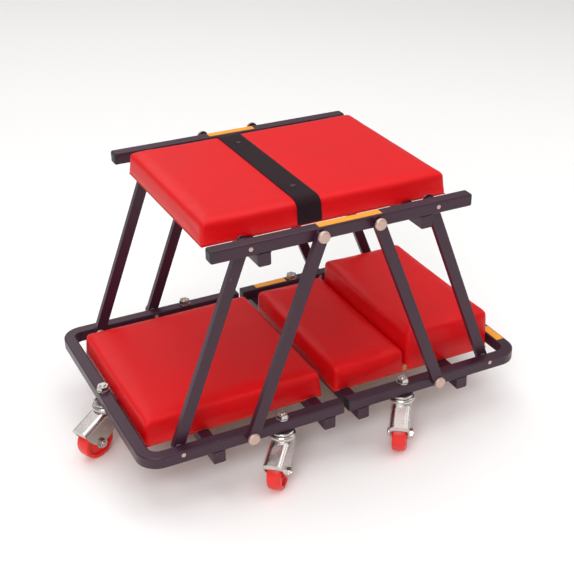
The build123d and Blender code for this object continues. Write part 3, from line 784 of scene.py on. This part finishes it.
class CREEPER_OT_stage(bpy.types.Operator):
    """Make the floor, the lights and the camera"""
    bl_idname = "creeper.stage"
    bl_label = "Stage"

    def execute(self, context):
        settings = context.scene.creeper_stage
        scene = context.scene
        bm = bmesh.new()
        bmesh.ops.create_grid(bm, x_segments=1, y_segments=1, size=8.0)
        floor = add_piece("floor", bm)
        material, shader = new_material("pale_floor")
        place = put(material, "ShaderNodeTexCoord")
        cloud = put(material, "ShaderNodeTexNoise", inputs={"Scale": 2.0},
                    links={"Vector": place.outputs["Object"]})
        mix = put(material, "ShaderNodeMix", {"data_type": "RGBA"},
                  {6: tint(settings.floor_pale, 0.99), 7: tint(settings.floor_pale, 1.0)},
                  {0: cloud.outputs["Fac"]})
        join(material, mix.outputs[2], shader.inputs["Base Color"])
        shader.inputs["Roughness"].default_value = 0.9
        shader.inputs["IOR"].default_value = 1.3
        floor.data.materials.append(material)
        scene.view_settings.view_transform = "Standard"
        self.sky(scene, settings)
        # Name, place in metres, share of the key light, size in metres
        lamps = (
            ("key", (-1.9, -2.5, 2.3), 1.0, 1.8),
            ("top", (0.0, 0.0, 3.2), 0.75, 3.0),
            ("side", (2.6, -0.9, 1.7), 0.22, 2.0),
            ("back", (-0.4, 2.8, 2.6), 0.3, 2.4),
        )
        for name, spot, share, size in lamps:
            lamp = bpy.data.lights.new(name, "AREA")
            lamp.energy = settings.key_power * share
            lamp.size = size
            holder = bpy.data.objects.new(name, lamp)
            scene.collection.objects.link(holder)
            holder.location = spot
            aim = Vector((0.0, 0.0, 0.2)) - Vector(spot)
            holder.rotation_euler = aim.to_track_quat("-Z", "Y").to_euler()
        self.camera(scene)
        return {"FINISHED"}

    def sky(self, scene, settings):
        """Even surroundings that are brighter overhead than at the horizon."""
        world = bpy.data.worlds.new("studio")
        scene.world = world
        world.use_nodes = True
        world.node_tree.nodes.clear()
        place = put(world, "ShaderNodeTexCoord")
        split = put(world, "ShaderNodeSeparateXYZ", links={"Vector": place.outputs["Generated"]})
        level = put(world, "ShaderNodeMapRange",
                    inputs={"To Min": settings.sky_low, "To Max": settings.sky_high},
                    links={"Value": split.outputs["Z"]})
        glow = put(world, "ShaderNodeBackground", links={"Strength": level.outputs["Result"]})
        put(world, "ShaderNodeOutputWorld", links={"Surface": glow.outputs["Background"]})

    def camera(self, scene):
        """A camera at sitting height in front of the left half, looking down along the creeper."""
        lens = bpy.data.cameras.new("camera")
        lens.sensor_width = 36.0
        lens.lens = LENS_MM
        lens.shift_x = LENS_SHIFT
        lens.clip_end = 50.0
        eye = bpy.data.objects.new("camera", lens)
        scene.collection.objects.link(eye)
        rail_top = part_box("left_frame_tube")[1][2]
        eye.location = EYE + Vector((0.0, 0.0, rail_top))
        yaw, pitch, roll = (math.radians(a) for a in EYE_TURN)
        look = Vector((math.cos(yaw) * math.cos(pitch), math.sin(yaw) * math.cos(pitch), math.sin(pitch)))
        eye.rotation_euler = look.to_track_quat("-Z", "Y").to_euler()
        eye.rotation_euler.rotate_axis("Z", roll)
        scene.camera = eye


class CREEPER_PT_panel(bpy.types.Panel):
    """The creeper's pieces in the 3D view's sidebar"""
    bl_label = "Folding Creeper Seat"
    bl_idname = "CREEPER_PT_panel"
    bl_space_type = "VIEW_3D"
    bl_region_type = "UI"
    bl_category = "Creeper"

    def draw(self, context):
        for operator in OPERATORS:
            self.layout.operator(operator.bl_idname)


GROUPS = {
    "creeper_cushions": CushionSettings,
    "creeper_hems": HemSettings,
    "creeper_welds": WeldSettings,
    "creeper_strap": StrapSettings,
    "creeper_finishes": FinishSettings,
    "creeper_stage": StageSettings,
}
OPERATORS = (
    CREEPER_OT_finishes, CREEPER_OT_cushions, CREEPER_OT_hems, CREEPER_OT_welds, CREEPER_OT_strap,
    CREEPER_OT_stage,
)


def register():
    for name, group in GROUPS.items():
        bpy.utils.register_class(group)
        setattr(bpy.types.Scene, name, PointerProperty(type=group))
    for operator in OPERATORS:
        bpy.utils.register_class(operator)
    bpy.utils.register_class(CREEPER_PT_panel)


def unregister():
    bpy.utils.unregister_class(CREEPER_PT_panel)
    for operator in reversed(OPERATORS):
        bpy.utils.unregister_class(operator)
    for name, group in GROUPS.items():
        delattr(bpy.types.Scene, name)
        bpy.utils.unregister_class(group)


def main():
    register()
    bpy.ops.creeper.finishes()
    bpy.ops.creeper.cushions()
    bpy.ops.creeper.hems()
    bpy.ops.creeper.welds()
    bpy.ops.creeper.strap()
    bpy.ops.creeper.stage()


if __name__ == "__main__":
    main()
